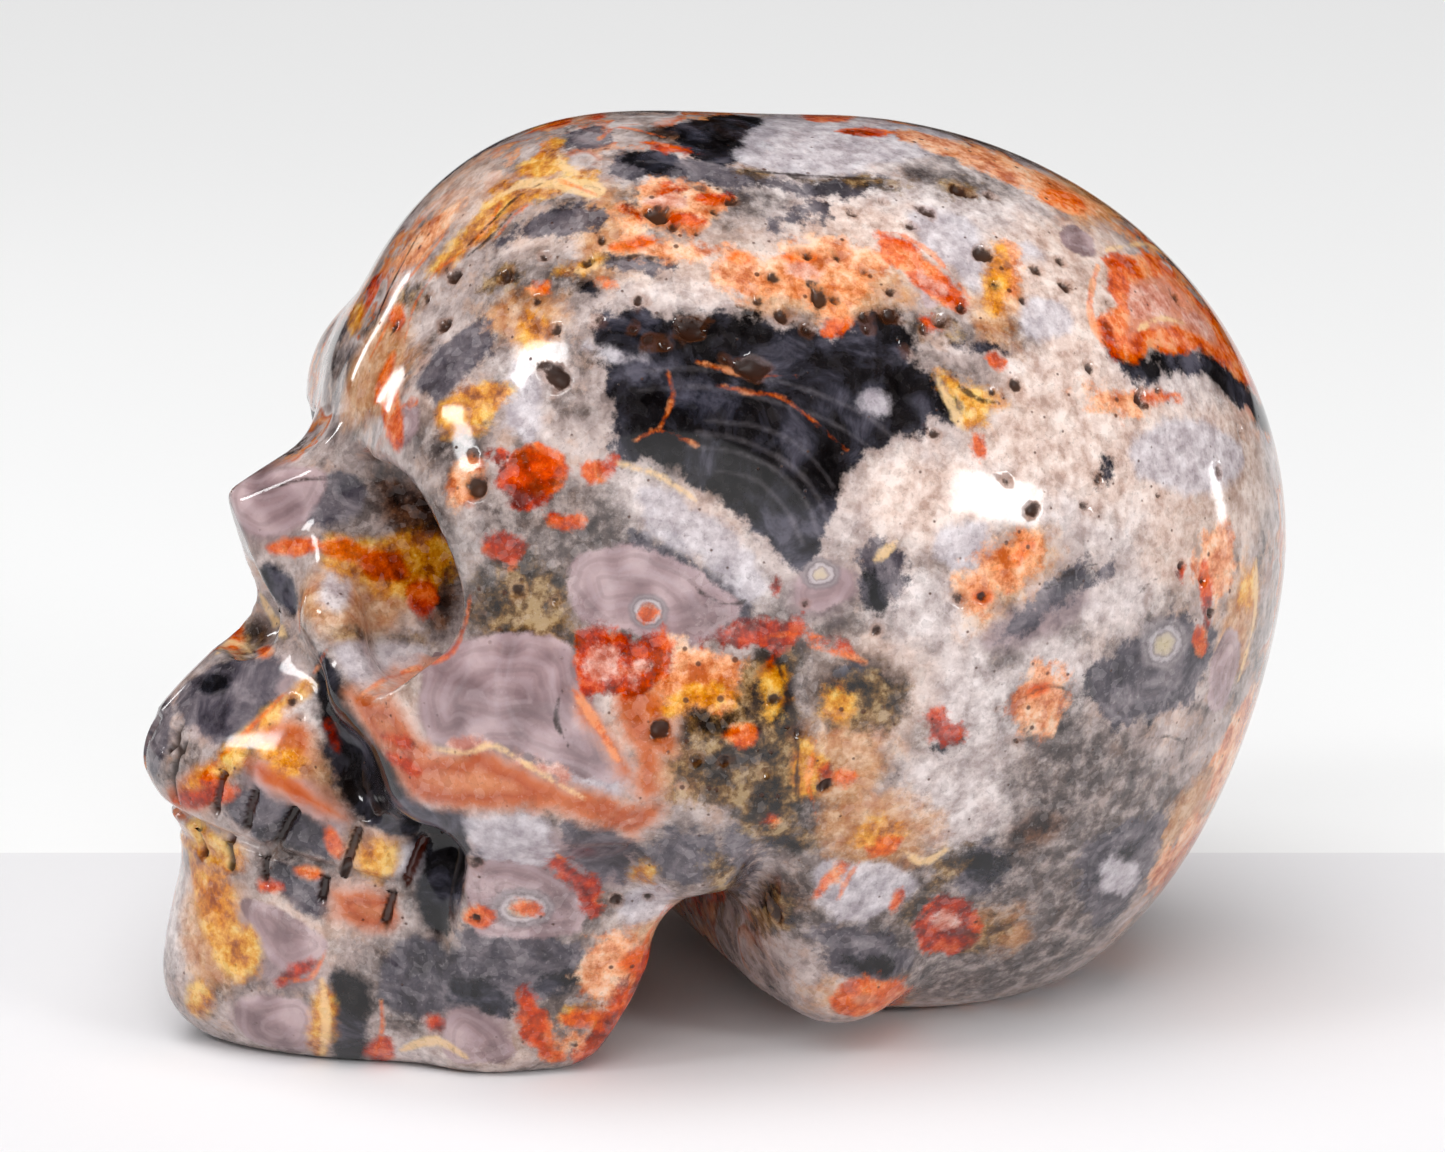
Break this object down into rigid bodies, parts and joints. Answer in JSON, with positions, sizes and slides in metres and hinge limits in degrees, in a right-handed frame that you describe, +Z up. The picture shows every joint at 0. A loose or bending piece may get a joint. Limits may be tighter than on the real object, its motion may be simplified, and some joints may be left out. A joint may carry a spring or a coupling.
{
  "type": "crazy lace agate skull carving",
  "caption": "Palm-sized human skull carved from solid polished stone, with open eye sockets and a flat base to stand on.",
  "frame": {"origin": "centre of the bounding box in plan, on the plane of the flat base", "axes": "+Z up, -Y the way the face looks, +X the skull's left side"},
  "size_m": [0.067, 0.0972, 0.0742],
  "materials": {
    "skull": "polished"
  },
  "bodies": {
    "root": {"skull": "skull"}
  },
  "joints": []
}
